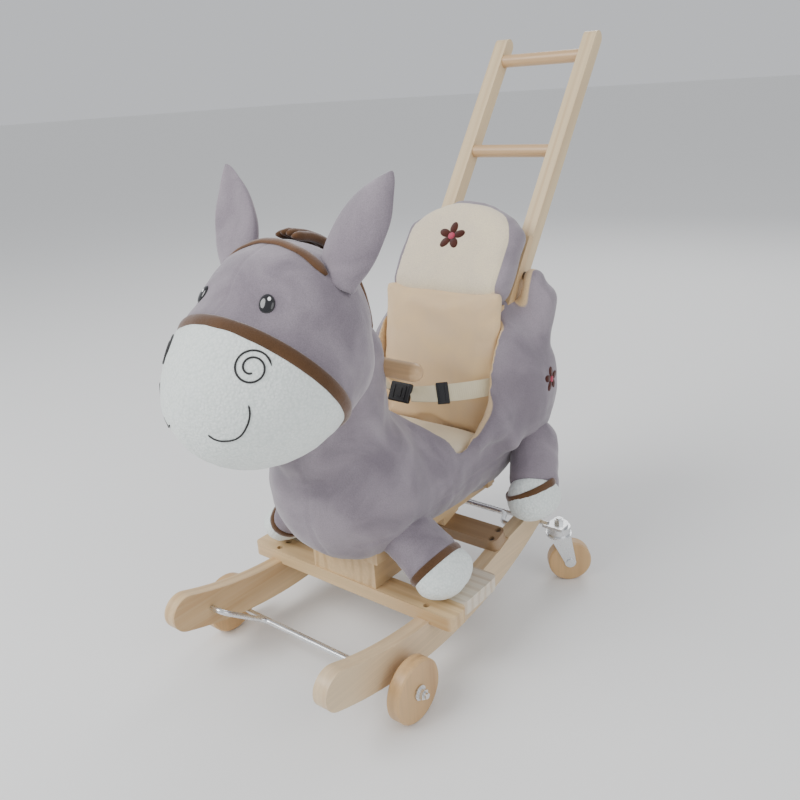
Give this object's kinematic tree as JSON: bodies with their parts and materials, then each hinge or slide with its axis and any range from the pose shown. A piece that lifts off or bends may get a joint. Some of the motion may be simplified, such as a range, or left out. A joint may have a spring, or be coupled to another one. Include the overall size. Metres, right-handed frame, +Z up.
{
  "type": "rocking horse",
  "caption": "Plush-bodied rocking horse with a bucket seat, hand bar and ladder push handle, on curved wooden rockers with fold-away wheel frames",
  "frame": {"origin": "On the floor under the middle of the length and midway between the two sides", "axes": "+X is the horse's left side, -Y is the way the head faces, +Z is up"},
  "size_m": [0.3916, 0.7382, 0.7334],
  "materials": {
    "pine": "planed pine, clear lacquer",
    "dark_pine": "planed, darker stained board",
    "bar_wood": "turned hardwood",
    "rung_wood": "turned hardwood dowel",
    "wheel_wood": "turned wood",
    "screw_steel": "zinc-plated",
    "zinc_steel": "bright zinc-plated",
    "velour": "short grey-lilac velour pile",
    "terry": "looped white plush",
    "brown_velour": "brown velour",
    "cream_cloth": "cream brushed cloth",
    "tan_cloth": "light tan brushed cloth",
    "webbing": "woven webbing",
    "black_plastic": "moulded"
  },
  "bodies": {
    "base": {"rocker_left": "pine", "rocker_right": "pine", "front_cross_board": "pine", "rear_cross_board": "dark_pine", "pedal_left": "pine", "pedal_right": "pine", "board_screws": "screw_steel", "chest_block": "pine", "rear_block": "pine", "spine_board": "pine", "head_post": "pine", "hand_bar": "bar_wood", "seat_risers": "pine", "seat_board": "pine", "lower_back_board": "pine", "back_board": "pine", "brace_left": "pine", "brace_right": "pine", "rail_left": "pine", "rail_right": "pine", "handle_rungs": "rung_wood", "handle_bolts": "screw_steel", "body_plush": "velour", "backrest_plush": "velour", "head_plush": "velour", "muzzle_plush": "terry", "ear_left": "velour", "ear_right": "velour", "mane": "brown_velour", "front_leg_left": "velour", "front_leg_right": "velour", "front_hoof_left": "terry", "front_hoof_right": "terry", "rear_leg_left": "velour", "rear_leg_right": "velour", "rear_hoof_left": "terry", "rear_hoof_right": "terry", "seat_cushion": "cream_cloth", "back_cushion": "tan_cloth", "belt_left": "webbing", "belt_right": "webbing", "belt_buckle": "black_plastic"},
    "front_wheel_frame": {"front_axle": "zinc_steel", "front_crank": "zinc_steel", "axle_washers": "zinc_steel", "axle_nuts": "zinc_steel"},
    "front_wheel_left_body": {"front_wheel_left": "wheel_wood"},
    "front_wheel_right_body": {"front_wheel_right": "wheel_wood"},
    "rear_caster_frame": {"rear_bar": "zinc_steel", "rear_crank": "zinc_steel", "caster_bolts": "zinc_steel", "caster_nuts": "zinc_steel"},
    "caster_left": {"fork_left": "zinc_steel", "fork_axle_left": "zinc_steel"},
    "caster_right": {"fork_right": "zinc_steel", "fork_axle_right": "zinc_steel"},
    "caster_wheel_left_body": {"caster_wheel_left": "wheel_wood"},
    "caster_wheel_right_body": {"caster_wheel_right": "wheel_wood"}
  },
  "joints": [
    {"name": "front_frame_fold", "type": "hinge", "parent": "base", "child": "front_wheel_frame", "pos_m": [0, -0.29032, 0.07862], "axis": [1, 0, 0], "range_deg": [-312, 0]},
    {"name": "front_wheel_left_spin", "type": "hinge", "parent": "front_wheel_frame", "child": "front_wheel_left_body", "pos_m": [0.156, -0.23232, 0.0385], "axis": [1, 0, 0], "continuous": true},
    {"name": "front_wheel_right_spin", "type": "hinge", "parent": "front_wheel_frame", "child": "front_wheel_right_body", "pos_m": [-0.156, -0.23232, 0.0385], "axis": [1, 0, 0], "continuous": true},
    {"name": "rear_frame_fold", "type": "hinge", "parent": "base", "child": "rear_caster_frame", "pos_m": [0, 0.05768, 0.09783], "axis": [1, 0, 0], "range_deg": [-95, 0]},
    {"name": "caster_left_swivel", "type": "hinge", "parent": "rear_caster_frame", "child": "caster_left", "pos_m": [0.156, 0.11168, 0.075], "axis": [0, 0, 1], "continuous": true},
    {"name": "caster_right_swivel", "type": "hinge", "parent": "rear_caster_frame", "child": "caster_right", "pos_m": [-0.156, 0.11168, 0.075], "axis": [0, 0, 1], "continuous": true},
    {"name": "caster_wheel_left_spin", "type": "hinge", "parent": "caster_left", "child": "caster_wheel_left_body", "pos_m": [0.16782, 0.12091, 0.03], "axis": [0.6157, -0.788, 0], "continuous": true},
    {"name": "caster_wheel_right_spin", "type": "hinge", "parent": "caster_right", "child": "caster_wheel_right_body", "pos_m": [-0.16782, 0.12091, 0.03], "axis": [0.6157, 0.788, 0], "continuous": true}
  ]
}
